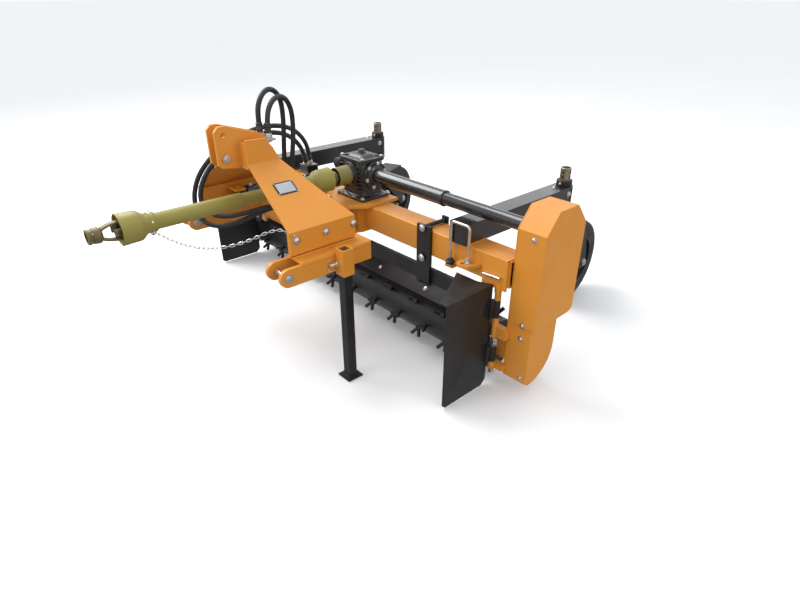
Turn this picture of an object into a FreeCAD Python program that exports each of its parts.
"""Tractor-carried power rake: toothed rotor under a square beam, swivelling three-point headstock,
driveline, chain case, two rear caster wheels, hinged end plates and a parking stand.

Row frame in millimetres: +X to the chain case, -Y to the tractor, +Z up, ground at Z = 0,
origin on the ground under the middle of the overall box.
"""
import FreeCAD
import Part
import Sketcher
import math
import os
import re
from FreeCAD import Placement, Rotation, Vector

doc = FreeCAD.newDocument("power_rake")
sheet = doc.addObject("Spreadsheet::Sheet", "sizes")

SIZES = {
    # shared: how far a cutting tool runs past its work, and the gap round anything that turns
    "over": 1, "run_gap": 0.3,
    # main beam: square tube across the machine
    "beam_side": 112, "beam_wall": 6, "beam_front": 7, "beam_bottom": 470, "beam_left": -1028,
    "plate_end": 12,
    # rotor under the beam
    "drum_y": 88, "drum_radius": 110, "drum_wall": 8, "drum_cap": 10, "drum_left": -981,
    "drum_right": 846, "stub_radius": 25, "stub_length": 33,
    "tooth_reach": 40, "tooth_radius": 8.5, "tooth_sink": 6, "tooth_pitch": 171, "tooth_start": 38,
    "tooth_end": 30, "tooth_splay": 30, "tooth_rows": 8, "tooth_turn": -127,
    # bearings at the rotor's ends, and the plate on the left
    "bearing_radius": 46, "bearing_gap": 3, "boss_radius": 30, "boss_depth": 10, "side_neck": 200,
    "side_shoulder": 400, "side_rear": 45, "side_low_half": 62, "side_low_z": 96, "side_foot_half": 30,
    "side_foot_z": 70,
    # chain case on the right
    "case_inner": 924, "case_lower_outer": 1036, "case_outer": 1050, "case_front": 22,
    "case_rear": 271, "case_top": 792, "case_chamfer_low": 713, "case_flat_front": 89,
    "case_flat_rear": 202, "case_flat_share": 0.4, "case_wall": 5, "case_bottom": 56,
    "case_lower_rear": 195, "case_set_back": 4, "case_round": 26, "case_straight": 14, "case_lap": 20,
    "back_lap": 30, "cover_low_front": 324, "cover_low_rear": 332, "cover_wall": 3,
    "cover_room_low": 60, "cover_foot_rise": 14, "cover_foot_in": 20,
    # drive line height and place, and the tube over the cross shaft
    "drive_x": -30, "drive_y": 75, "drive_height": 710, "tube_large": 32, "tube_small": 27,
    "tube_step": 519, "tube_wall": 4, "tube_lap": 30,
    # gearbox and its platform
    "gear_half_x": 82, "gear_half_y": 66, "gear_top": 792, "gear_foot": 14, "gear_margin": 20,
    "lid_in_x": 10, "lid_in_y": 8, "lid_height": 9, "lid_rim": 5, "lid_rim_height": 14,
    "plug_radius": 15, "plug_height": 13, "flange_radius": 62, "flange_depth": 20,
    "socket_wall": 8, "socket_depth": 14, "cap_radius": 56, "cap_depth": 26, "dome_small": 26,
    "dome_large": 44, "dome_depth": 22, "nose_radius": 56, "nose_depth": 22, "rib_x": 80,
    "rib_half": 4, "rib_reach": 14, "rib_drop": 50, "input_guard": 44, "input_guard_front": -86,
    "input_guard_wall": 3, "platform": 14, "platform_half_x": 150, "platform_front": -18,
    "platform_rear": 168,
    # swivel between frame and headstock
    "swivel_y": -134, "pin_radius": 25, "pin_below": 16, "pin_above": 10, "pin_head": 13,
    "pin_foot": 10, "pin_head_height": 14, "hub_radius": 46, "swivel_gap": 3, "lug_round": 62,
    "lower_half_x": 110, "web_half_x": 100, "web_depth": 42, "web_wall": 10,
    # rear arms and casters
    "arm_x": 670, "arm_side": 88, "arm_wall": 5, "arm_cap": 6, "arm_front": -12, "sleeve_radius": 42,
    "sleeve_drop": 40, "spindle_y": 712, "spindle_radius": 24, "spindle_top": 752, "collar_grow": 12,
    "collar_height": 26, "rest_grow": 14, "wheel_radius": 210, "wheel_width": 82, "wheel_trail": 235,
    "rim_radius": 128, "rim_wall": 6, "disc_lap": 3, "disc_half": 6, "wheel_hub": 34, "fork_gap": 9,
    "fork_plate": 10, "crown_clear": 16, "crown_front": 45, "crown_rear": 20, "leg_drop": 30,
    "leg_wide": 34, "leg_narrow": 20, "axle_radius": 12, "axle_reach": 14, "nut_grow": 7,
    "nut_height": 9, "caster_turn_right": 7, "caster_turn_left": 22,
    # barrier board between beam and rotor
    "board_top": 405, "board_fold": 340, "board_low": 290, "board_reach": 45, "board_plate": 6,
    "board_lip": 20, "board_edge": 4, "board_ease": 3, "board_inset": 20,
    "hanger_x": 475, "hanger_width": 78, "hanger_plate": 16, "hanger_top": 602, "strap_width": 34,
    "strap_plate": 10, "strap_below": 30, "strap_above": 28, "bolt_radius": 9, "bolt_head": 8,
    "bolt_gap": 3,
    # end plates
    "end_face_right": 865, "end_face_left": 1000, "end_thick": 8, "end_front": -266,
    "end_bottom": 5, "end_top": 475, "corner_front": 12, "corner_rear": 24, "flange_front": 36,
    "flange_rear": 168, "flange_rear_y": -36, "flange_corner": 60,
    # their hinges: knuckles on the plate, post, bars and pin on the frame
    "hinge_out": 15, "hinge_y": 4, "hinge_radius": 13, "hinge_pin": 8, "hinge_pin_low": 76,
    "knuckle_upper": 330, "knuckle_lower": 124, "knuckle_height": 75, "knuckle_gap": 3,
    "leaf_lap": 20, "bar_in": 60, "bar_out": 22, "bar_low": 488, "post_in": 2, "post_out": 28,
    "post_half": 9, "post_low": 440, "post_high": 490, "middle_low": 240, "lower_low": 98,
    "lower_grow": 4, "bar_half": 8, "bar_set": 4, "bar_lap": 14, "right_bar_low": 246,
    "right_bar_high": 292, "left_bar_low": 256, "left_bar_high": 316, "left_bar_reach": 38,
    # index plates and the pins that lock the end plates
    "index_bottom": 512, "index_thick": 12, "index_in": 130, "index_left": 44, "index_left_in": 36,
    "index_side": 52, "index_tip": 12, "index_reach": 66, "index_right_in": 24,
    "index_right_reach": 56, "index_right": 52, "index_hole": 9, "index_hole_x": 8,
    "index_hole_y": 46, "tab_far": 243, "tab_near": 203, "tab_reach": 34, "tab_low": 474,
    "tab_plate": 8, "lock_radius": 6, "lock_gap": 7, "lock_near": 92, "lock_far": 2,
    "lock_top": 672, "lock_foot": 8,
    # headstock: hitch ears, ledges and uprights
    "ear_inner": 340, "ear_outer": 430, "ear_plate": 16, "ear_radius": 36, "ear_y": -628,
    "ear_z": 536, "arm_back": -239, "ledge_plate": 8, "ledge_front": -568, "upright_plate": 10,
    "upright_top": 676, "hitch_pin": 11, "hitch_pin_in": 14, "hitch_pin_out": 10, "pin_room": 40,
    # headstock: cheeks
    "cheek_top_x": 100, "cheek_low_x": 380, "cheek_plate": 8, "cheek_front": -560,
    "cheek_bend_top": 875, "cheek_bend_low": 681, "cheek_low_front": -576, "cheek_low_rear": -271,
    "cheek_low_z": 590, "cheek_peak": 967, "bend_ease": 3, "fold_rear": -200, "fold_length": 450,
    "shoulder_in": 60, "shoulder_rise": 74, "throat_y": -412, "throat_drop": 8, "nape_y": -441,
    "nape_z": 918, "tip_y": -472, "tip_drop": 3, "half_width": 700,
    # headstock: mast
    "mast_gap": 24, "mast_plate": 12, "mast_pin_y": -614, "mast_pin_z": 984, "mast_low_z": 895,
    "mast_hole": 9.75, "mast_pin_reach": 10, "mast_front": -648, "mast_back": -440,
    "mast_nose_drop": 22, "mast_nose_rise": 14, "mast_brow_in": 18, "mast_crown": 32,
    "mast_crown_in": 44, "mast_back_top": 966, "mast_back_low": 890, "mast_foot_in": 78,
    "mast_foot_z": 852, "mast_toe_in": 14, "mast_toe_drop": 34, "mast_web": 8,
    "mast_web_front": -556, "mast_web_front_top": 952, "mast_web_rear": -452,
    "mast_web_rear_low": 868, "mast_web_rear_top": 930,
    # headstock: cross tube, plates back to the swivel hub, and the cylinder's lugs
    "cross_depth": 60, "cross_wall": 6, "base_half": 190, "base_shoulder": 16, "base_plate": 12,
    "lug_half": 26, "lug_rear": 24, "lug_gap": 18, "lug_plate": 10, "lug_pin": 10,
    "lug_pin_reach": 34,
    # driveline guard
    "cone_front": -1046, "cone_rear": -118, "cone_mouth": 60, "cone_waist": 57, "cone_depth": 70,
    "cone_taper": 26, "cone_floor": 4, "rear_shrink": 6, "collar_radius": 38, "collar_length": 36,
    "guard_outer": 31, "guard_inner": 27, "guard_wall": 3, "guard_join": -560, "guard_lap": 120,
    "guard_sink": 8,
    # driveline shaft and its two joints
    "yoke_end": -1152, "tractor_hub": 30, "hub_back": 38, "spline_bore": 17.5, "shaft_radius": 17,
    "shaft_start": 30, "bush_lap": 110, "bush_back": 44, "bush_width": 14, "front_joint": 4,
    "joint_half": 33, "ear_width": 28, "ear_nose": 12, "ear_inside": 18, "ear_disc": 12,
    "front_reach": 46, "rear_reach": 40, "input_reach": 48, "cross_radius": 9, "cross_reach": 20,
    "cross_low_reach": 14, "front_cross": 8,
    # hydraulic swivel cylinder and its bracket on the beam
    "barrel_x": -330, "barrel_y": -420, "rod_x": -300, "rod_y": -15, "ram_z": 635,
    "barrel_radius": 30, "barrel_length": 265, "barrel_start": 34, "barrel_floor": 56, "ram_rod": 15,
    "rod_start": 158, "rod_sink": 8, "eye_radius": 22, "eye_thick": 30, "neck_radius": 14,
    "neck_length": 20, "neck_sink": 3, "bracket_half": 26, "bracket_reach": 60,
    "bracket_post_front": 44, "bracket_post_rear": 84, "bracket_lug_low": 32,
    "bracket_lug_low_top": 22, "bracket_lug_high": 20,
    # parking stand
    "stand_x": 434, "stand_y": -393, "socket_side": 52, "leg_side": 40, "leg_wall": 4,
    "socket_top": 599, "socket_height": 110, "foot_side": 76, "foot_plate": 8, "leg_top": 585,
    "stand_pin": 8, "stand_pin_x": 14, "stand_pin_drop": 62, "stand_pin_reach": 24,
    # hoses, chain and the blocks they end in
    "hose_radius": 10.5, "chain_radius": 6, "port_radius": 9, "bulkhead_radius": 10,
    "coupler_radius": 14, "shelf_left": -335, "shelf_right": -236, "shelf_front": -80,
    "shelf_low": 37, "shelf_plate": 8, "strut_x": -244, "strut_front": 56, "strut_rear": 6,
    "strut_drop": 20, "strut_edge": -2, "strut_top": -110, "valve_right": -268, "valve_front": -76,
    "valve_rear": -14, "valve_height": 31, "rail_left": -75, "rail_right": 15, "rail_rear": -396,
    "rail_low": 936, "rail_plate": 8, "bulkhead_low": 926, "tap_left": -170, "tap_right": -95,
    "tap_front": 58, "tap_rear": 4, "tap_height": 34, "rest_left": -94, "rest_right": -24,
    "rest_plate": 10, "rest_top": 664, "coupler_rear": 6,
}
for row, (alias, number) in enumerate(SIZES.items(), start=1):
    sheet.set(f"A{row}", alias)
    sheet.set(f"B{row}", str(number))
    sheet.setAlias(f"B{row}", alias)
doc.recompute()

WORD = re.compile(r"\b(" + "|".join(SIZES) + r")\b")


def cells(text):
    """Turn a rule written with the sheet's aliases into a FreeCAD expression."""
    return WORD.sub(r"sizes.\1", str(text))


def value(text):
    """The number that such a rule gives."""
    return float(sheet.evalExpression(cells(text)))


def bind(item, **rules):
    """Bind properties of an object to rules on the sheet."""
    for prop, rule in rules.items():
        item.setExpression(prop.replace("__", "."), cells(rule))
    return item


def place(item, x, y, z):
    """Bind an object's position to rules on the sheet."""
    for axis, rule in zip("xyz", (x, y, z)):
        item.setExpression(f"Placement.Base.{axis}", cells(rule))
    return item


count = iter(range(1, 100000))


def box(x, y, z):
    """A block between two faces on each axis; each argument is a pair of rules."""
    item = doc.addObject("Part::Box", f"block{next(count)}")
    bind(item, Length=f"({x[1]}) - ({x[0]})", Width=f"({y[1]}) - ({y[0]})",
         Height=f"({z[1]}) - ({z[0]})")
    return place(item, x[0], y[0], z[0])


TURNS = {"x": Rotation(Vector(0, 1, 0), 90), "y": Rotation(Vector(1, 0, 0), -90), "z": Rotation()}


def along(item, axis, start, a, b):
    """Lay a round object along an axis from start, with its two other coordinates a and b."""
    item.Placement = Placement(Vector(), TURNS[axis])
    where = {"x": (start, a, b), "y": (a, start, b), "z": (a, b, start)}[axis]
    return place(item, *where)


def rod(axis, radius, start, stop, a, b):
    """A cylinder along an axis."""
    item = doc.addObject("Part::Cylinder", f"round{next(count)}")
    bind(item, Radius=radius, Height=f"({stop}) - ({start})")
    return along(item, axis, start, a, b)


def cone(axis, radius_start, radius_stop, start, stop, a, b):
    """A frustum along an axis."""
    item = doc.addObject("Part::Cone", f"cone{next(count)}")
    bind(item, Radius1=radius_start, Radius2=radius_stop, Height=f"({stop}) - ({start})")
    return along(item, axis, start, a, b)


def fuse(*items):
    """Join objects into one."""
    if len(items) == 1:
        return items[0]
    joined = doc.addObject("Part::MultiFuse", f"fuse{next(count)}")
    joined.Shapes = list(items)
    joined.Refine = True
    return joined


def cut(base, *tools):
    """Take the tools out of the base."""
    pared = doc.addObject("Part::Cut", f"cut{next(count)}")
    pared.Base = base
    pared.Tool = fuse(*tools)
    pared.Refine = True
    return pared


PLANES = {"XY": "XY_Plane", "XZ": "XZ_Plane", "YZ": "YZ_Plane"}


def plate(plane, corners, start, thickness):
    """A padded sketch: corners are pairs of rules, and start is the place of its first face.

    The pad runs to +Z on XY, to +X on YZ and to -Y on XZ.
    """
    body = doc.addObject("PartDesign::Body", f"plate{next(count)}")
    sketch = body.newObject("Sketcher::SketchObject", f"outline{next(count)}")
    origin = [f for f in body.Origin.OriginFeatures if f.Role == PLANES[plane]][0]
    sketch.AttachmentSupport = [(origin, "")]
    sketch.MapMode = "FlatFace"
    side = "-" if plane == "XZ" else ""
    sketch.setExpression("AttachmentOffset.Base.z", cells(f"{side}({start})"))
    spots = [Vector(value(u), value(v), 0) for u, v in corners]
    for spot, after in zip(spots, spots[1:] + spots[:1]):
        sketch.addGeometry(Part.LineSegment(spot, after), False)
    last = len(spots) - 1
    for i in range(len(spots)):
        before = last if i == 0 else i - 1
        sketch.addConstraint(Sketcher.Constraint("Coincident", before, 2, i, 1))
    for i, (u, v) in enumerate(corners):
        for kind, rule, number in (("DistanceX", u, spots[i].x), ("DistanceY", v, spots[i].y)):
            index = sketch.addConstraint(Sketcher.Constraint(kind, -1, 1, i, 1, number))
            sketch.setExpression(f"Constraints[{index}]", cells(rule))
    pad = body.newObject("PartDesign::Pad", f"pad{next(count)}")
    pad.Profile = sketch
    bind(pad, Length=thickness)
    sketch.Visibility = False
    body.Tip = pad
    return body


nodes = {}


def node(name, item):
    """Name a finished sub-part; its label is its file's name."""
    item.Label = name
    nodes[name] = item
    return item


BEAM_REAR = "(beam_front + beam_side)"
BEAM_TOP = "(beam_bottom + beam_side)"
DRUM_Z = "(drum_radius + tooth_reach)"
PLATFORM_TOP = f"({BEAM_TOP} + platform)"
ARM_TOP = f"({BEAM_TOP} + arm_side)"
GEAR_RIGHT = "(drive_x + gear_half_x)"
GEAR_LEFT = "(drive_x - gear_half_x)"
GEAR_NOSE = "(drive_y - gear_half_y - nose_depth)"
TUBE_START = f"({GEAR_RIGHT} + flange_depth + socket_depth)"
EAR_TOP = "(ear_z + ear_radius)"
EAR_LOW = "(ear_z - ear_radius)"
SIDES = {"right": 1, "left": -1}


def main_beam():
    """Square tube with a welded cap on its left end."""
    solid = box(("beam_left", "case_inner"), ("beam_front", BEAM_REAR), ("beam_bottom", BEAM_TOP))
    hollow = box(("beam_left + beam_wall", "case_inner + over"),
                 ("beam_front + beam_wall", f"{BEAM_REAR} - beam_wall"),
                 ("beam_bottom + beam_wall", f"{BEAM_TOP} - beam_wall"))
    node("main_beam", cut(solid, hollow))


def pivot_bracket():
    """Gearbox platform and lower plate welded to the beam, both reaching forward to the swivel pin."""
    def lug(low, high, half, rear):
        nose = plate("XY", [(f"drive_x - {half}", rear), (f"drive_x - {half}", "platform_front"),
                            ("drive_x - lug_round", "swivel_y"), ("drive_x + lug_round", "swivel_y"),
                            (f"drive_x + {half}", "platform_front"), (f"drive_x + {half}", rear)],
                     low, f"({high}) - ({low})")
        return fuse(nose, rod("z", "lug_round", low, high, "drive_x", "swivel_y"))
    upper = lug(BEAM_TOP, PLATFORM_TOP, "platform_half_x", "platform_rear")
    lower = lug("beam_bottom - platform", "beam_bottom", "lower_half_x", BEAM_REAR)
    web = box(("drive_x - web_half_x", "drive_x + web_half_x"),
              ("beam_front - web_depth", "beam_front"), ("beam_bottom", BEAM_TOP))
    web_room = box(("drive_x - web_half_x + web_wall", "drive_x + web_half_x - web_wall"),
                   ("beam_front - web_depth + web_wall", "beam_front"), ("beam_bottom", BEAM_TOP))
    pin = rod("z", "pin_radius", "beam_bottom - platform - pin_below", f"{PLATFORM_TOP} + pin_above",
              "drive_x", "swivel_y")
    head = rod("z", "pin_radius + pin_head", PLATFORM_TOP, f"{PLATFORM_TOP} + pin_head_height",
               "drive_x", "swivel_y")
    foot = rod("z", "pin_radius + pin_foot", "beam_bottom - platform - pin_head_height",
               "beam_bottom - platform", "drive_x", "swivel_y")
    node("pivot_bracket", fuse(upper, lower, cut(web, web_room), pin, head, foot))


def gearbox():
    """Cast right-angle gearbox: foot, body, ribs, top cover, side flange, side cap and input nose."""
    def block(grow_x, grow_y, low, high):
        return box((f"{GEAR_LEFT} - ({grow_x})", f"{GEAR_RIGHT} + ({grow_x})"),
                   (f"drive_y - gear_half_y - ({grow_y})", f"drive_y + gear_half_y + ({grow_y})"),
                   (low, high))
    foot = block("gear_margin", "gear_margin", PLATFORM_TOP, f"{PLATFORM_TOP} + gear_foot")
    body = block("0", "0", f"{PLATFORM_TOP} + gear_foot", "gear_top")
    lid = block("-lid_in_x", "-lid_in_y", "gear_top", "gear_top + lid_height")
    plug = rod("z", "plug_radius", "gear_top + lid_height", "gear_top + lid_height + plug_height",
               "drive_x", "drive_y")
    flange = rod("x", "flange_radius", GEAR_RIGHT, f"{GEAR_RIGHT} + flange_depth", "drive_y",
                 "drive_height")
    socket = rod("x", "tube_large + socket_wall", f"{GEAR_RIGHT} + flange_depth", TUBE_START,
                 "drive_y", "drive_height")
    cap = rod("x", "cap_radius", f"{GEAR_LEFT} - cap_depth", GEAR_LEFT, "drive_y", "drive_height")
    dome = cone("x", "dome_small", "dome_large", f"{GEAR_LEFT} - cap_depth - dome_depth",
                f"{GEAR_LEFT} - cap_depth", "drive_y", "drive_height")
    nose = rod("y", "nose_radius", GEAR_NOSE, "drive_y - gear_half_y", "drive_x", "drive_height")
    ribs = [box((f"drive_x {way} rib_x - rib_half", f"drive_x {way} rib_x + rib_half"),
                ("drive_y - gear_half_y - rib_reach", "drive_y + gear_half_y + rib_reach"),
                (f"{PLATFORM_TOP} + gear_foot", "gear_top - rib_drop")) for way in "-+"]
    ring = block("lid_rim", "lid_rim", "gear_top - lid_rim_height", "gear_top")
    guard = cut(rod("y", "input_guard", "input_guard_front", GEAR_NOSE, "drive_x", "drive_height"),
                rod("y", "input_guard - input_guard_wall", "input_guard_front - over",
                    f"{GEAR_NOSE} + over", "drive_x", "drive_height"))
    node("gearbox", fuse(foot, body, lid, plug, flange, socket, cap, dome, nose, ring, *ribs))
    node("input_guard", guard)


def drive_tube():
    """Shaft housing from the gearbox to the chain case: a large tube, then a smaller one inside it."""
    large = rod("x", "tube_large", TUBE_START, "tube_step", "drive_y", "drive_height")
    small = rod("x", "tube_small", "tube_step - tube_lap", "case_inner", "drive_y", "drive_height")
    bore = rod("x", "tube_small - tube_wall", f"{TUBE_START} - over", "case_inner + over", "drive_y",
               "drive_height")
    node("drive_tube", cut(fuse(large, small), bore))


def case_outline(low_z, inset):
    """Side outline of the upper chain case, shrunk by an inset."""
    return [(f"case_front + {inset}", low_z), (f"case_front + {inset}", "case_chamfer_low"),
            (f"case_flat_front + {inset} * case_flat_share", f"case_top - {inset}"),
            (f"case_flat_rear - {inset} * case_flat_share", f"case_top - {inset}"),
            (f"case_rear - {inset}", "case_chamfer_low"), (f"case_rear - {inset}", low_z)]


def lower_outline(inset):
    """Points of the lower case's rounded outline: straight front, arc under the rotor's shaft."""
    front = value("case_front + case_set_back") + inset
    reach = value("case_lower_rear - case_front - case_round")
    centre = Vector(value("case_front + case_round"), value("case_bottom") + reach, 0)
    low = [(centre.x + (reach - inset) * math.sin(a), centre.y - (reach - inset) * math.cos(a))
           for a in [math.radians(step) for step in range(0, 91, 10)]]
    top = value("cover_low_front + case_lap") - inset
    return ([(front, top), (front, value("case_bottom + case_straight") + inset)] + low
            + [(value("case_lower_rear") - inset, top)])


def prism(points, x0, x1):
    """A solid between two X planes from a Y, Z outline."""
    wire = Part.makePolygon([Vector(x0, y, z) for y, z in points + points[:1]])
    return Part.Face(wire).extrude(Vector(x1 - x0, 0, 0))


def chain_case():
    """Welded chain case: back plate over its whole height, and a hollow lower box."""
    outer, inner = value("case_lower_outer"), value("case_inner")
    wall = value("case_wall")
    shell = prism(lower_outline(0), inner, outer)
    room = prism(lower_outline(wall), inner + wall, outer - wall)
    lower = doc.addObject("Part::Feature", "lower_case")
    lower.Shape = shell.cut(room)
    back = plate("YZ", case_outline("cover_low_front - back_lap", "0"), "case_inner", "case_wall")
    bearing = cut(rod("x", "bearing_radius", "drum_right + bearing_gap", "case_inner", "drum_y", DRUM_Z),
                  rod("x", "stub_radius + run_gap", "drum_right", "drum_right + stub_length + over",
                      "drum_y", DRUM_Z))
    node("chain_case", fuse(lower, back, bearing))


def case_cover():
    """Folded sheet cover over the upper case, open to its back plate and at its slanted foot."""
    skin = [("case_front", "cover_low_front")] + case_outline("0", "0")[1:5]
    skin += [("case_rear", "cover_low_rear + cover_foot_rise"),
             ("case_rear - cover_foot_in", "cover_low_rear")]
    shell = plate("YZ", skin, "case_inner + case_wall", "case_outer - case_inner - case_wall")
    room = plate("YZ", case_outline("cover_low_front - cover_room_low", "cover_wall"),
                 "case_inner + case_wall - over", "case_outer - case_inner - case_wall - 2 * over")
    node("case_cover", cut(shell, room))


def left_side_frame():
    """Plate on the beam's left end that carries the rotor's far bearing."""
    skin = plate("YZ", [("beam_front", BEAM_TOP), ("beam_front", "side_neck"),
                        ("drum_y - side_low_half", "side_low_z"),
                        ("drum_y - side_foot_half", "side_foot_z"),
                        ("drum_y + side_foot_half", "side_foot_z"),
                        ("drum_y + side_low_half", "side_low_z"),
                        (f"{BEAM_REAR} + side_rear", "side_neck"), (BEAM_REAR, "side_shoulder"),
                        (BEAM_REAR, BEAM_TOP)],
                 "beam_left - plate_end", "plate_end")
    bearing = cut(rod("x", "bearing_radius", "beam_left", "drum_left - bearing_gap", "drum_y", DRUM_Z),
                  rod("x", "stub_radius + run_gap", "drum_left - stub_length - over", "drum_left",
                      "drum_y", DRUM_Z))
    boss = rod("x", "boss_radius", "beam_left - plate_end - boss_depth", "beam_left - plate_end",
               "drum_y", DRUM_Z)
    node("left_side_frame", fuse(skin, bearing, boss))


def rake_drum():
    """Rotor: tube with welded pairs of splayed teeth and a stub shaft at each end."""
    left, right = value("drum_left"), value("drum_right")
    radius, reach = value("drum_radius"), value("tooth_reach")
    y, z = value("drum_y"), value(DRUM_Z)
    tube = Part.makeCylinder(radius, right - left, Vector(left, y, z), Vector(1, 0, 0))
    cap = value("drum_cap")
    room = Part.makeCylinder(radius - value("drum_wall"), right - left - 2 * cap,
                             Vector(left + cap, y, z), Vector(1, 0, 0))
    stub = value("stub_length")
    stubs = [Part.makeCylinder(value("stub_radius"), stub, Vector(x, y, z), Vector(1, 0, 0))
             for x in (left - stub, right)]
    rotor = tube.cut(room).fuse(stubs)
    teeth = []
    pitch, rows, sink = value("tooth_pitch"), int(value("tooth_rows")), value("tooth_sink")
    for row in range(rows):
        turn = 360.0 * row / rows + value("tooth_turn")
        x = left + value("tooth_start") + pitch * ((row * 0.5) % 1)
        while x < right - value("tooth_end"):
            out = Vector(0, math.cos(math.radians(turn)), math.sin(math.radians(turn)))
            for side in (-1, 1):
                lean = math.radians(value("tooth_splay") * side)
                way = Vector(math.sin(lean), out.y * math.cos(lean), out.z * math.cos(lean))
                root = Vector(x, y, z) + out * (radius - sink)
                long = (reach + sink) / math.cos(lean) - value("tooth_radius") * abs(math.tan(lean))
                teeth.append(Part.makeCylinder(value("tooth_radius"), long, root, way))
            x += pitch
    item = doc.addObject("Part::Feature", "rotor")
    item.Shape = rotor.fuse(teeth)
    node("rake_drum", item)


def rear_arm(side):
    """Square tube lying on the beam, with a front cap and the caster's upright sleeve."""
    sign = SIDES[side]
    x = f"({sign} * arm_x)"
    solid = box((f"{x} - arm_side / 2", f"{x} + arm_side / 2"), ("arm_front", "spindle_y"),
                (BEAM_TOP, ARM_TOP))
    room = box((f"{x} - arm_side / 2 + arm_wall", f"{x} + arm_side / 2 - arm_wall"),
               ("arm_front + arm_cap", "spindle_y - sleeve_radius"),
               (f"{BEAM_TOP} + arm_wall", f"{ARM_TOP} - arm_wall"))
    sleeve = rod("z", "sleeve_radius", f"{BEAM_TOP} - sleeve_drop", ARM_TOP, x, "spindle_y")
    bore = rod("z", "spindle_radius + run_gap", f"{BEAM_TOP} - sleeve_drop - over",
               f"{ARM_TOP} + over", x, "spindle_y")
    arm = cut(fuse(cut(solid, room), sleeve), bore)
    node(f"rear_arm_{side}", arm)


def caster(side):
    """Spindle and fork, axle, rim and tyre, turned about the spindle to where they stand."""
    sign = SIDES[side]
    crown_low = "(2 * wheel_radius + crown_clear)"
    half = "(wheel_width / 2 + fork_gap)"
    crown_top = "(2 * wheel_radius + crown_clear + fork_plate)"
    post = rod("z", "spindle_radius", crown_top, "spindle_top", "0", "0")
    collar = rod("z", "spindle_radius + collar_grow", f"{ARM_TOP} + run_gap",
                 f"{ARM_TOP} + collar_height", "0", "0")
    rest = rod("z", "spindle_radius + rest_grow", crown_top, f"{BEAM_TOP} - sleeve_drop - run_gap",
               "0", "0")
    crown = box((f"-{half} - fork_plate", f"{half} + fork_plate"),
                ("-crown_front", "wheel_trail - crown_rear"), (crown_low, f"{crown_low} + fork_plate"))
    leg = [("-crown_front", crown_low), ("-crown_front", f"{crown_low} - leg_drop"),
           ("wheel_trail - leg_wide", "wheel_radius - leg_narrow"),
           ("wheel_trail - leg_narrow", "wheel_radius - leg_wide"),
           ("wheel_trail + leg_narrow", "wheel_radius - leg_wide"),
           ("wheel_trail + leg_wide", "wheel_radius - leg_narrow"),
           ("wheel_trail + leg_wide", "wheel_radius + leg_narrow"),
           ("wheel_trail - leg_narrow", crown_low)]
    legs = [plate("YZ", leg, start, "fork_plate") for start in (half, f"-{half} - fork_plate")]
    hub_line = ("wheel_trail", "wheel_radius")
    axle = rod("x", "axle_radius", f"-{half} - fork_plate - axle_reach",
               f"{half} + fork_plate + axle_reach", *hub_line)
    nuts = [rod("x", "axle_radius + nut_grow", start, f"{start} + nut_height", *hub_line)
            for start in (f"(-{half} - fork_plate - nut_height)", f"({half} + fork_plate)")]
    spindle = fuse(post, collar, rest)
    fork = fuse(crown, *legs)
    axle_hole = rod("x", "axle_radius", f"-{half} - fork_plate - over", f"{half} + fork_plate + over",
                    *hub_line)
    width = ("-wheel_width / 2", "wheel_width / 2")
    wider = ("-wheel_width / 2 - over", "wheel_width / 2 + over")
    tyre = cut(rod("x", "wheel_radius", *width, *hub_line), rod("x", "rim_radius", *wider, *hub_line))
    barrel = cut(rod("x", "rim_radius", *width, *hub_line),
                 rod("x", "rim_radius - rim_wall", *wider, *hub_line))
    disc = rod("x", "rim_radius - disc_lap", "-disc_half", "disc_half", *hub_line)
    hub = rod("x", "wheel_hub", f"-{half} + over", f"{half} - over", *hub_line)
    wheel_bore = rod("x", "axle_radius + run_gap", f"-{half} - over", f"{half} + over", *hub_line)
    rim = cut(fuse(barrel, disc, hub), wheel_bore)
    pieces = {"spindle": spindle, "fork": cut(fork, axle_hole), "axle": fuse(axle, *nuts),
              "tyre": tyre, "rim": rim}
    for name, item in pieces.items():
        item.Placement = Placement(Vector(), Rotation(Vector(0, 0, 1), 1))
        place(item, f"{sign} * arm_x", "spindle_y", "0")
        bind(item, Placement__Rotation__Angle=f"caster_turn_{side}")
        node(f"{name}_{side}", item)


def barrier():
    """Folded board across the machine between beam and rotor, and the clamps that hang it."""
    board = plate("YZ", [("beam_front + board_lip", "board_top"), ("beam_front", "board_top"),
                         ("beam_front", "board_fold"),
                         ("beam_front - board_reach", "board_low"),
                         ("beam_front - board_reach + board_edge", "board_low - board_edge"),
                         ("beam_front + board_plate", "board_fold - board_ease"),
                         ("beam_front + board_plate", "board_top - board_plate"),
                         ("beam_front + board_lip", "board_top - board_plate")],
                  "drum_left + board_inset", "drum_right - drum_left - 2 * board_inset")
    node("barrier_board", board)
    pieces = []
    for sign in (1, -1):
        middle = f"{sign} * hanger_x"
        pieces.append(box((f"{middle} - hanger_width / 2", f"{middle} + hanger_width / 2"),
                          ("beam_front - hanger_plate", "beam_front"), ("board_fold", "hanger_top")))
        pieces.append(box((f"{middle} - strap_width / 2", f"{middle} + strap_width / 2"),
                          (BEAM_REAR, f"{BEAM_REAR} + strap_plate"),
                          ("beam_bottom - strap_below", f"{BEAM_TOP} + strap_above")))
        for z in (f"{BEAM_TOP} + bolt_radius + bolt_gap", "beam_bottom - bolt_radius - bolt_gap"):
            pieces.append(rod("y", "bolt_radius", "beam_front - hanger_plate - bolt_head",
                              f"{BEAM_REAR} + strap_plate + bolt_head", middle, z))
    node("barrier_hangers", fuse(*pieces))


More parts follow.
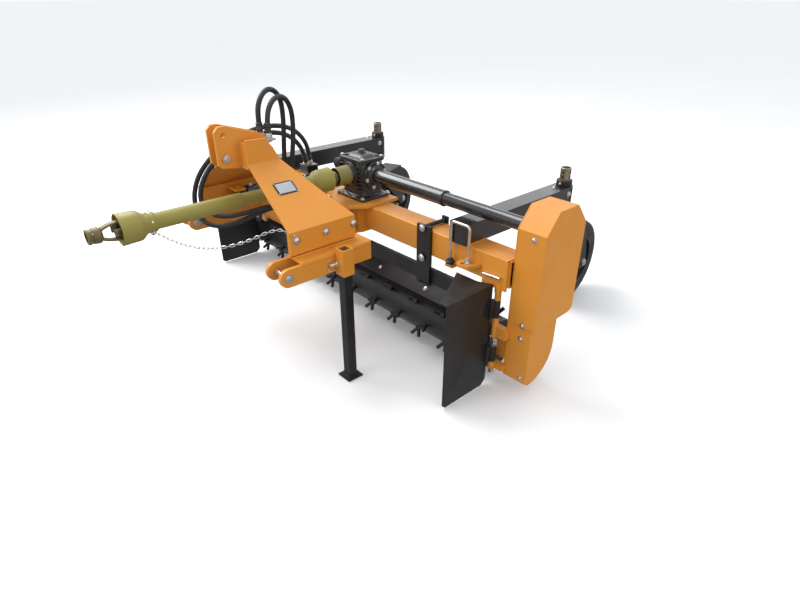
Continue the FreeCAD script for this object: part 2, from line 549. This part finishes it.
def end_plate(side):
    """Hinged plate ahead of the rotor's end, with a folded top flange and two hinge knuckles."""
    sign = SIDES[side]
    outer = f"end_face_{side}"
    rear = "(hinge_y - hinge_radius - knuckle_gap)"
    skin = plate("YZ", [("end_front", "end_top"), ("end_front", "end_bottom + corner_front"),
                        ("end_front + corner_front", "end_bottom"),
                        (f"{rear} - corner_rear", "end_bottom"),
                        (rear, "end_bottom + corner_rear"), (rear, "end_top")],
                 f"{sign} * {outer} - {'end_thick' if sign > 0 else '0'}", "end_thick")
    flange = plate("XY", [(f"{sign} * {outer}", "end_front"),
                          (f"{sign} * ({outer} - flange_front)", "end_front"),
                          (f"{sign} * ({outer} - flange_rear)", "flange_rear_y"),
                          (f"{sign} * ({outer} - flange_corner)", "flange_rear_y"),
                          (f"{sign} * ({outer})", rear)],
                   "end_top - end_thick", "end_thick")
    x = f"{sign} * ({outer} + hinge_out)"
    near = f"{sign} * ({outer} - end_thick)"
    leaf = (near, x) if sign > 0 else (x, near)
    knuckles = []
    for low in ("knuckle_upper", "knuckle_lower"):
        high = f"{low} + knuckle_height"
        knuckles.append(rod("z", "hinge_radius", low, high, x, "hinge_y"))
        knuckles.append(box(leaf, (f"{rear} - leaf_lap", "hinge_y"), (low, high)))
    bores = rod("z", "hinge_pin + run_gap", "knuckle_lower - over",
                "knuckle_upper + knuckle_height + over", x, "hinge_y")
    node(f"end_plate_{side}", cut(fuse(skin, flange, *knuckles), bores))


def hinge_bracket(side):
    """Fixed post, bars and pin of an end plate's hinge, with the index plate, welded to the frame."""
    sign = SIDES[side]
    face = f"end_face_{side}"
    x = f"{sign} * ({face} + hinge_out)"

    def span(a, b):
        """X faces at two distances from the end plate's face, counted outwards."""
        return (f"{sign} * ({face} + {a})", f"{sign} * ({face} + {b})")[::sign]
    top_bar = box(span("-bar_in", "bar_out"), ("hinge_y - hinge_radius", "beam_front"),
                  ("bar_low", "index_bottom"))
    web = box(span("post_in", "post_out"), ("hinge_y - post_half", "beam_front"),
              ("post_low", "post_high"))
    upper = rod("z", "hinge_radius", "knuckle_upper + knuckle_height + knuckle_gap", "beam_bottom", x,
                "hinge_y")
    middle = rod("z", "hinge_radius", "middle_low", "knuckle_upper - knuckle_gap", x, "hinge_y")
    low_pair = ("lower_low", "knuckle_lower - knuckle_gap")
    lower = rod("z", "hinge_radius + lower_grow", *low_pair, x, "hinge_y")
    pin = rod("z", "hinge_pin", "hinge_pin_low", "beam_bottom", x, "hinge_y")
    inward = f"{sign} * ({face} - index_in"
    index = plate("XY", [(f"{inward} - index_left)", "beam_front"),
                         (f"{inward} - index_left_in)", "beam_front - index_side"),
                         (f"{inward} - index_tip)", "beam_front - index_reach"),
                         (f"{inward} + index_right_in)", "beam_front - index_right_reach"),
                         (f"{inward} + index_right)", "beam_front")],
                  "index_bottom", "index_thick")
    hole = rod("z", "index_hole", "index_bottom - over", "index_bottom + index_thick + over",
               f"{inward} - index_hole_x)", "beam_front - index_hole_y")
    tab = box(span("-tab_far", "-tab_near"), ("beam_front - tab_reach", "beam_front"),
              ("tab_low", "tab_low + tab_plate"))
    if side == "right":
        straps = [box((x, "case_inner + bar_lap"), ("hinge_y - bar_half", "case_front + bar_set"), pair)
                  for pair in (("right_bar_low", "right_bar_high"), low_pair)]
    else:
        straps = [box(span("-post_in", "post_out"), ("hinge_y - bar_half", "hinge_y + left_bar_reach"),
                      pair)
                  for pair in (("left_bar_low", "left_bar_high"), low_pair)]
    node(f"hinge_bracket_{side}", fuse(top_bar, web, upper, pin, cut(index, hole), tab, middle,
                                       lower, *straps))


def lock_pins():
    """Bent round-bar pins that lock the end plates at the index plates."""
    bars = []
    for side, sign in SIDES.items():
        y = "arm_front - lock_gap"
        inward = f"{sign} * (end_face_{side} - index_in"
        near, far = f"({inward} - lock_near))", f"({inward} + lock_far))"
        low, high = (near, far)[::sign]
        foot = "(tab_low + tab_plate)"
        bars.append(rod("z", "lock_radius", foot, "lock_top", near, y))
        bars.append(rod("z", "lock_radius", "index_bottom + index_thick", "lock_top", far, y))
        bars.append(rod("x", "lock_radius", low, high, y, "lock_top"))
        bars.append(rod("z", "lock_foot", foot, f"{foot} + lock_foot", near, y))
    node("lock_pins", fuse(*bars))


def cheek(side):
    """Bent headstock side plate: upright at the mast, sloping out, then upright on the lower arm."""
    sign = SIDES[side]
    top, low = f"drive_x + {sign} * cheek_top_x", f"drive_x + {sign} * cheek_low_x"
    t = f"{sign} * cheek_plate"
    fold = plate("XZ", [(top, "cheek_peak"), (top, "cheek_bend_top"), (low, "cheek_bend_low"),
                        (low, "cheek_low_z"), (f"{low} - {t}", "cheek_low_z"),
                        (f"{low} - {t}", "cheek_bend_low - bend_ease"),
                        (f"{top} - {t}", "cheek_bend_top - bend_ease"), (f"{top} - {t}", "cheek_peak")],
                 "fold_rear", "fold_length")
    skin = plate("YZ", [("cheek_front", "cheek_peak"), ("cheek_front", "cheek_bend_top"),
                        ("cheek_low_front", "cheek_bend_low"), ("cheek_low_front", "cheek_low_z"),
                        ("cheek_low_rear", "cheek_low_z"), ("cheek_low_rear", "cheek_bend_low"),
                        ("cheek_low_rear - shoulder_in", "cheek_bend_low + shoulder_rise"),
                        ("throat_y", "cheek_bend_top - throat_drop"), ("nape_y", "nape_z"),
                        ("tip_y", "cheek_peak - tip_drop")],
                 "-half_width", "2 * half_width")
    both = doc.addObject("Part::MultiCommon", f"common{next(count)}")
    both.Shapes = [fold, skin]
    both.Refine = True
    node(f"cheek_{side}", both)


def mast():
    """Two clevis plates for the top link, the front and rear plates that join them to the cheeks."""
    outline = [("mast_front", "mast_low_z - mast_nose_drop"),
               ("mast_front", "mast_pin_z + mast_nose_rise"),
               ("mast_front + mast_brow_in", "mast_pin_z + mast_crown"),
               ("mast_front + mast_crown_in", "mast_pin_z + mast_crown"),
               ("mast_back", "mast_back_top"), ("mast_back", "mast_back_low"),
               ("mast_front + mast_foot_in", "mast_foot_z"),
               ("mast_front + mast_toe_in", "mast_low_z - mast_toe_drop")]
    plates = [plate("YZ", outline, start, "mast_plate")
              for start in ("drive_x + mast_gap", "drive_x - mast_gap - mast_plate")]
    inside = "(cheek_top_x - cheek_plate)"
    between = (f"drive_x - {inside}", f"drive_x + {inside}")
    front = box(between, ("mast_web_front", "mast_web_front + mast_web"),
                ("mast_foot_z", "mast_web_front_top"))
    rear = box(between, ("mast_web_rear", "mast_web_rear + mast_web"),
               ("mast_web_rear_low", "mast_web_rear_top"))
    holes = [rod("x", "mast_hole", "drive_x - cheek_top_x", "drive_x + cheek_top_x", "mast_pin_y", z)
             for z in ("mast_pin_z", "mast_low_z")]
    node("mast_clevis", cut(fuse(front, rear, *plates), *holes))
    outer = "(mast_gap + mast_plate)"
    pin = rod("x", "mast_hole - run_gap", f"drive_x - {outer} - mast_pin_reach",
              f"drive_x + {outer} + mast_pin_reach", "mast_pin_y", "mast_low_z")
    node("mast_pin", pin)


def lower_arm(side):
    """Hitch ears, ledge and upright plate of one side, and its hitch pin."""
    sign = SIDES[side]
    ears = []
    for offset in ("ear_inner", "ear_outer"):
        x = f"drive_x + {sign} * {offset}"
        span = (f"{x} - ear_plate / 2", f"{x} + ear_plate / 2")
        ears.append(box(span, ("ear_y", "arm_back"), (EAR_LOW, EAR_TOP)))
        ears.append(rod("x", "ear_radius", span[0], span[1], "ear_y", "ear_z"))

    def across(a, b):
        """X faces at two distances from the headstock's middle."""
        if sign > 0:
            return f"drive_x + ({a})", f"drive_x + ({b})"
        return f"drive_x - ({b})", f"drive_x - ({a})"
    inner_face, outer_face = "ear_inner - ear_plate / 2", "ear_outer + ear_plate / 2"
    ledge = box(across(inner_face, outer_face), ("ledge_front", "arm_back"),
                (EAR_TOP, f"{EAR_TOP} + ledge_plate"))
    upright = box(across("cheek_low_x - cheek_plate - upright_plate", "cheek_low_x - cheek_plate"),
                  ("cheek_low_front", "cheek_low_rear"),
                  (f"{EAR_TOP} + ledge_plate - over", "upright_top"))
    back = box(across("ear_inner", "ear_outer"), ("arm_back - ledge_plate", "arm_back"),
               (EAR_LOW, EAR_TOP))
    room = across("ear_inner - pin_room", "ear_outer + pin_room")
    hole = rod("x", "hitch_pin + run_gap", *room, "ear_y", "ear_z")
    node(f"lower_arm_{side}", cut(fuse(ledge, upright, back, *ears), hole))
    reach = across(f"{inner_face} - hitch_pin_in", f"{outer_face} + hitch_pin_out")
    node(f"hitch_pin_{side}", rod("x", "hitch_pin", reach[0], reach[1], "ear_y", "ear_z"))


def headstock_base():
    """Cross tube between the arms, two plates back to the swivel hub, and the cylinder's lugs."""
    inside = "(ear_inner - ear_plate / 2)"
    tube = box((f"drive_x - {inside}", f"drive_x + {inside}"), ("arm_back - cross_depth", "arm_back"),
               (EAR_LOW, EAR_TOP))
    room = box((f"drive_x - {inside} - over", f"drive_x + {inside} + over"),
               ("arm_back - cross_depth + cross_wall", "arm_back - cross_wall"),
               (f"{EAR_LOW} + cross_wall", f"{EAR_TOP} - cross_wall"))

    def web(low):
        return plate("XY", [("drive_x - base_half", "arm_back"), ("drive_x + base_half", "arm_back"),
                            ("drive_x + hub_radius", "swivel_y - base_shoulder"),
                            ("drive_x + hub_radius", "swivel_y"), ("drive_x - hub_radius", "swivel_y"),
                            ("drive_x - hub_radius", "swivel_y - base_shoulder")], low, "base_plate")
    hub = rod("z", "hub_radius", "beam_bottom + swivel_gap", f"{BEAM_TOP} - swivel_gap", "drive_x",
              "swivel_y")
    bore = rod("z", "pin_radius + run_gap", "beam_bottom", BEAM_TOP, "drive_x", "swivel_y")
    lugs = [box(("drive_x - (cheek_low_x - cheek_plate - upright_plate)", "barrel_x + lug_half"),
                ("barrel_y - lug_half", "barrel_y + lug_rear"), (low, f"{low} + lug_plate"))
            for low in ("ram_z - lug_gap - lug_plate", "ram_z + lug_gap")]
    pin = rod("z", "lug_pin", "ram_z - lug_pin_reach", "ram_z + lug_pin_reach", "barrel_x", "barrel_y")
    node("headstock_base", cut(fuse(cut(tube, room), web(f"{EAR_TOP} - base_plate"), web(EAR_LOW), hub),
                               bore))
    node("cylinder_lugs", fuse(*lugs, pin))


def stand():
    """Square socket on the right arm with its pin, and the sliding leg with its foot."""
    half, leg = "socket_side / 2", "leg_side / 2"
    socket = box((f"stand_x - {half}", f"stand_x + {half}"), (f"stand_y - {half}", f"stand_y + {half}"),
                 ("socket_top - socket_height", "socket_top"))
    room = box((f"stand_x - {leg} - run_gap", f"stand_x + {leg} + run_gap"),
               (f"stand_y - {leg} - run_gap", f"stand_y + {leg} + run_gap"),
               ("socket_top - socket_height - over", "socket_top + over"))
    pin = rod("y", "stand_pin", f"stand_y - {half} - stand_pin_reach", f"stand_y - {half}",
              "stand_x - stand_pin_x", "socket_top - stand_pin_drop")
    node("stand_socket", fuse(cut(socket, room), pin))
    post = box((f"stand_x - {leg}", f"stand_x + {leg}"), (f"stand_y - {leg}", f"stand_y + {leg}"),
               ("foot_plate", "leg_top"))
    hollow = box((f"stand_x - {leg} + leg_wall", f"stand_x + {leg} - leg_wall"),
                 (f"stand_y - {leg} + leg_wall", f"stand_y + {leg} - leg_wall"),
                 ("foot_plate", "leg_top + over"))
    foot = box(("stand_x - foot_side / 2", "stand_x + foot_side / 2"),
               ("stand_y - foot_side / 2", "stand_y + foot_side / 2"), ("0", "foot_plate"))
    node("stand_leg", fuse(cut(post, hollow), foot))


def driveline():
    """Telescoping guard with a cone at each end, and the turning shaft with its two joints."""
    at = ("drive_x", "drive_height")

    def bell(mouth, way, grow):
        """Guard cone from its mouth to its waist, its taper and its collar; grow offsets the skin."""
        steps = ["0", "cone_depth", "cone_depth + cone_taper", "cone_depth + cone_taper + collar_length"]
        radii = ["cone_mouth", "cone_waist", "collar_radius", "collar_radius"]
        pieces = []
        for near, far, first, last in zip(steps, steps[1:], radii, radii[1:]):
            a, b = f"{mouth} + {way} * ({near})", f"{mouth} + {way} * ({far})"
            if way > 0:
                pieces.append(cone("y", f"{first} + {grow}", f"{last} + {grow}", a, b, *at)
                              if first != last else rod("y", f"{first} + {grow}", a, b, *at))
            else:
                pieces.append(cone("y", f"{last} + {grow}", f"{first} + {grow}", b, a, *at)
                              if first != last else rod("y", f"{first} + {grow}", b, a, *at))
        return pieces
    length = "(cone_depth + cone_taper + collar_length)"
    front_tube = rod("y", "guard_outer", f"cone_front + {length} - guard_sink", "guard_join", *at)
    front_bore = rod("y", "guard_inner + run_gap", "cone_front - over", "guard_join + over", *at)
    front_room = rod("y", "cone_waist - guard_wall", "cone_front - over",
                     "cone_front + cone_depth - cone_floor", *at)
    node("guard_front", cut(fuse(*bell("cone_front", 1, "0"), front_tube), front_bore, front_room))
    rear_tube = rod("y", "guard_inner", "guard_join - guard_lap", f"cone_rear - {length} + guard_sink",
                    *at)
    rear_bore = rod("y", "guard_inner - guard_wall", "guard_join - guard_lap - over",
                    "cone_rear + over", *at)
    rear_room = rod("y", "cone_waist - guard_wall - rear_shrink",
                    "cone_rear - cone_depth + cone_floor", "cone_rear + over", *at)
    node("guard_rear", cut(fuse(*bell("cone_rear", -1, "-rear_shrink"), rear_tube), rear_bore,
                           rear_room))

    def ears(centre, turn_z, way, reach):
        """Two fork ears about a joint centre, the disc that joins them and their bearing studs."""
        disc = f"({reach}) - ear_disc"
        if way > 0:
            run = (f"{centre} - ear_nose", f"{centre} + {reach}")
            plate_run = (f"{centre} + {disc}", f"{centre} + {reach}")
        else:
            run = (f"{centre} - {reach}", f"{centre} + ear_nose")
            plate_run = (f"{centre} - {reach}", f"{centre} - ({disc})")
        pieces = [rod("y", "joint_half", *plate_run, *at)]
        wide = ("-ear_width / 2", "ear_width / 2")
        for pair in (("ear_inside", "joint_half"), ("-joint_half", "-ear_inside")):
            a, b = (wide, pair) if turn_z else (pair, wide)
            pieces.append(box((f"drive_x + {a[0]}", f"drive_x + {a[1]}"), run,
                              (f"drive_height + {b[0]}", f"drive_height + {b[1]}")))
        return pieces
    front = "(cone_front - front_joint)"
    cross = [rod("x", "cross_radius", "drive_x - cross_reach", "drive_x + cross_reach", "swivel_y",
                 "drive_height"),
             rod("z", "cross_radius", "drive_height - cross_low_reach",
                 "drive_height + cross_low_reach", "drive_x", "swivel_y"),
             rod("x", "front_cross", "drive_x - cross_reach", "drive_x + cross_reach", front,
                 "drive_height"),
             rod("z", "front_cross", "drive_height - cross_reach", "drive_height + cross_reach",
                 "drive_x", front)]
    shaft = rod("y", "shaft_radius", "cone_front + shaft_start", "swivel_y - rear_reach", *at)
    bushes = [rod("y", "guard_inner - guard_wall - run_gap", start, f"{start} + bush_width", *at)
              for start in ("guard_join - bush_lap", "cone_rear - cone_depth - bush_back")]
    tractor_hub = cut(rod("y", "tractor_hub", "yoke_end", "cone_front - hub_back", *at),
                      rod("y", "spline_bore", "yoke_end - over", f"{front} - front_reach", *at))
    node("driveline", fuse(shaft, *cross, tractor_hub, *bushes,
                           *ears("swivel_y", False, -1, "rear_reach"),
                           *ears(front, False, 1, "front_reach"),
                           *ears(front, True, -1, "front_reach")))
    input_shaft = rod("y", "shaft_radius", "swivel_y + rear_reach", f"{GEAR_NOSE} - run_gap", *at)
    node("input_yoke", fuse(input_shaft, *ears("swivel_y", True, 1, "input_reach")))


def swivel_cylinder():
    """Hydraulic cylinder between the headstock's left arm and a lug on the beam."""
    run = Vector(value("rod_x - barrel_x"), value("rod_y - barrel_y"), 0)
    length, way = run.Length, Vector(run).normalize()
    start = Vector(value("barrel_x"), value("barrel_y"), value("ram_z"))
    end = start + run
    eye, thick = value("eye_radius"), value("eye_thick")

    def eye_at(spot, hole):
        low = spot - Vector(0, 0, thick / 2)
        return (Part.makeCylinder(eye, thick, low)
                .cut(Part.makeCylinder(hole, thick + 2, low - Vector(0, 0, 1))))
    neck = Part.makeCylinder(value("neck_radius"), value("neck_length"),
                             start + way * (eye - value("neck_sink")), way)
    barrel = Part.makeCylinder(value("barrel_radius"), value("barrel_length - barrel_start"),
                               start + way * value("barrel_start"), way)
    room = Part.makeCylinder(value("ram_rod + run_gap"), value("barrel_length"),
                             start + way * value("barrel_floor"), way)
    base = eye_at(start, value("lug_pin + run_gap"))
    item = doc.addObject("Part::Feature", "barrel")
    item.Shape = barrel.cut(room).fuse([neck, base]).removeSplitter()
    node("cylinder_barrel", item)
    ram = Part.makeCylinder(value("ram_rod"), length - eye + value("rod_sink - rod_start"),
                            start + way * value("rod_start"), way)
    item = doc.addObject("Part::Feature", "ram")
    item.Shape = ram.fuse(Part.makeCylinder(eye, thick, end - Vector(0, 0, thick / 2)))
    node("cylinder_rod", item)
    wide = ("rod_x - bracket_half", "rod_x + bracket_half")
    post = box(wide, ("rod_y + bracket_post_front", "rod_y + bracket_post_rear"),
               (BEAM_TOP, "ram_z + lug_gap + lug_plate"))
    lugs = [box(wide, ("rod_y - bracket_half", "rod_y + bracket_reach"), pair)
            for pair in (("ram_z - bracket_lug_low", "ram_z - bracket_lug_low_top"),
                         ("ram_z + bracket_lug_high", "ram_z + lug_gap + lug_plate"))]
    node("rod_bracket", fuse(post, *lugs))


ROUTES = {
    "hose_loop_left": [(-55, -425, 962), (-50, -428, 1005), (-53, -424, 1056), (-66, -395, 1099),
                       (-88, -349, 1116), (-109, -303, 1099), (-123, -274, 1056),
                       (-128, -268, 998), (-133, -268, 935), (-138, -272, 865),
                       (-144, -274, 790), (-148, -271, 715), (-150, -265, 664), (-150, -265, 622)],
    "hose_loop_right": [(-14, -412, 962), (-20, -407, 1021), (-36, -375, 1070), (-62, -323, 1089),
                        (-88, -271, 1070), (-105, -239, 1021), (-110, -233, 958),
                        (-112, -238, 892), (-114, -249, 822), (-114, -260, 750),
                        (-113, -268, 686), (-112, -265, 622)],
    "hose_supply_left": [(-318, -30, 727), (-315, -33, 783), (-282, -80, 846), (-239, -147, 898),
                         (-201, -222, 933), (-178, -301, 950), (-176, -380, 948),
                         (-196, -454, 924), (-227, -520, 882), (-262, -576, 826),
                         (-293, -618, 758), (-306, -643, 682), (-291, -650, 611),
                         (-250, -633, 562), (-198, -587, 551), (-150, -522, 573),
                         (-112, -445, 607), (-84, -361, 626), (-78, -305, 622)],
    "hose_supply_right": [(-300, -62, 727), (-292, -78, 780), (-257, -130, 840), (-217, -199, 888),
                          (-186, -276, 917), (-175, -356, 924), (-185, -435, 909),
                          (-207, -507, 873), (-233, -570, 819), (-253, -617, 751),
                          (-256, -640, 679), (-233, -629, 622), (-186, -586, 600),
                          (-131, -522, 612), (-80, -444, 635), (-45, -361, 648), (-42, -305, 648)],
    "guard_chain": [(-8, -929, 677), (18, -897, 649), (66, -840, 617), (112, -783, 606),
                    (158, -724, 612), (204, -660, 634), (246, -612, 664), (284, -580, 680),
                    (316, -562, 676), (338, -554, 660)],
}


def route_ends(kind, end):
    """The first or last points of the two hoses of a kind."""
    return [points[end] for name, points in ROUTES.items() if name.startswith(kind)]


def hose_supports():
    """Bulkhead bracket on the mast, valve block on its shelf, and port block on the cross tube."""
    low, top = "ram_z + shelf_low", "ram_z + shelf_low + shelf_plate"
    shelf = box(("shelf_left", "shelf_right"), ("shelf_front", "0"), (low, top))
    strut = plate("YZ", [("arm_back - strut_front", EAR_TOP), ("arm_back - strut_rear", EAR_TOP),
                         ("shelf_front", "ram_z + strut_drop"), ("strut_edge", low),
                         ("strut_edge", top), ("strut_top", top)], "strut_x", "shelf_plate")
    block_top = f"{top} + valve_height"
    block = box(("shelf_left", "valve_right"), ("valve_front", "valve_rear"), (top, block_top))
    ports = [rod("z", "port_radius", block_top, str(z), str(x), str(y))
             for x, y, z in route_ends("hose_supply", 0)]
    node("valve_block", fuse(shelf, strut, block, *ports))
    rail = box(("rail_left", "rail_right"), ("mast_back", "rail_rear"),
               ("rail_low", "rail_low + rail_plate"))
    bulkheads = [rod("z", "bulkhead_radius", "bulkhead_low", str(z), str(x), str(y))
                 for x, y, z in route_ends("hose_loop", 0)]
    node("hose_bracket", fuse(rail, *bulkheads))
    tap_top = f"{EAR_TOP} + tap_height"
    stand_off = box(("tap_left", "tap_right"), ("arm_back - tap_front", "arm_back - tap_rear"),
                    (EAR_TOP, tap_top))
    taps = [rod("z", "port_radius", tap_top, str(z), str(x), str(y))
            for x, y, z in route_ends("hose_loop", -1)]
    node("port_block", fuse(stand_off, *taps))
    rest = box(("rest_left", "rest_right"),
               ("arm_back - strut_front", "arm_back - strut_front + rest_plate"), (EAR_TOP, "rest_top"))
    couplers = [rod("y", "coupler_radius", str(y), "arm_back - coupler_rear", str(x), str(z))
                for x, y, z in route_ends("hose_supply", -1)]
    node("coupler_rest", fuse(rest, *couplers))


def cord(name, points, radius):
    """A tube of straight runs joined by tangent arcs; prints its length and tightest bend."""
    spots = [Vector(*p) for p in points]
    edges, here, bends = [], spots[0], []
    for before, corner, after in zip(spots, spots[1:], spots[2:]):
        into, out = corner - before, after - corner
        turn = into.getAngle(out)
        short = min(into.Length, out.Length)
        bend = 0.45 * short / math.tan(turn / 2)
        back = 0.45 * short
        a = corner - Vector(into).normalize() * back
        b = corner + Vector(out).normalize() * back
        way = (Vector(out).normalize() - Vector(into).normalize()).normalize()
        middle = corner + way * (bend / math.cos(turn / 2) - bend)
        edges.append(Part.LineSegment(here, a).toShape())
        edges.append(Part.Arc(a, middle, b).toShape())
        here = b
        bends.append(bend)
    edges.append(Part.LineSegment(here, spots[-1]).toShape())
    path = Part.Wire(edges)
    ring = Part.Wire(Part.Circle(spots[0], spots[1] - spots[0], radius).toShape())
    tube = path.makePipeShell([ring], True, False)
    ratio = tube.Volume / (path.Length * math.pi * radius ** 2)
    print(f"{name}: {path.Length:.0f} mm, tightest bend {min(bends):.0f} mm "
          f"({min(bends) / radius / 2:.1f} diameters), volume ratio {ratio:.4f}")
    item = doc.addObject("Part::Feature", f"route_{name}")
    item.Shape = tube
    node(name, item)


def cords():
    """Four hydraulic hoses and the chain that keeps the driveline's guard from turning."""
    for name, points in ROUTES.items():
        cord(name, points, value("chain_radius" if name == "guard_chain" else "hose_radius"))


main_beam()
pivot_bracket()
gearbox()
drive_tube()
chain_case()
case_cover()
left_side_frame()
rake_drum()
for which in SIDES:
    rear_arm(which)
    caster(which)
    end_plate(which)
    hinge_bracket(which)
    cheek(which)
    lower_arm(which)
barrier()
lock_pins()
mast()
headstock_base()
stand()
driveline()
swivel_cylinder()
hose_supports()
cords()


def finish():
    """Recompute, test every object and sub-part, and write one STEP file a node."""
    doc.recompute()
    for item in doc.Objects:
        if "Invalid" in item.State or "Error" in item.State:
            raise RuntimeError(f"{item.Label} failed: {item.State}")
    os.makedirs("parts", exist_ok=True)
    for name, item in nodes.items():
        shape = item.Shape
        if shape.isNull() or not shape.isValid():
            raise RuntimeError(f"{name} has no valid shape")
        shape.exportStep(f"parts/{name}.step")
        print(f"{name}: {len(shape.Solids)} solid, {shape.Volume / 1e6:.3f} l")


finish()
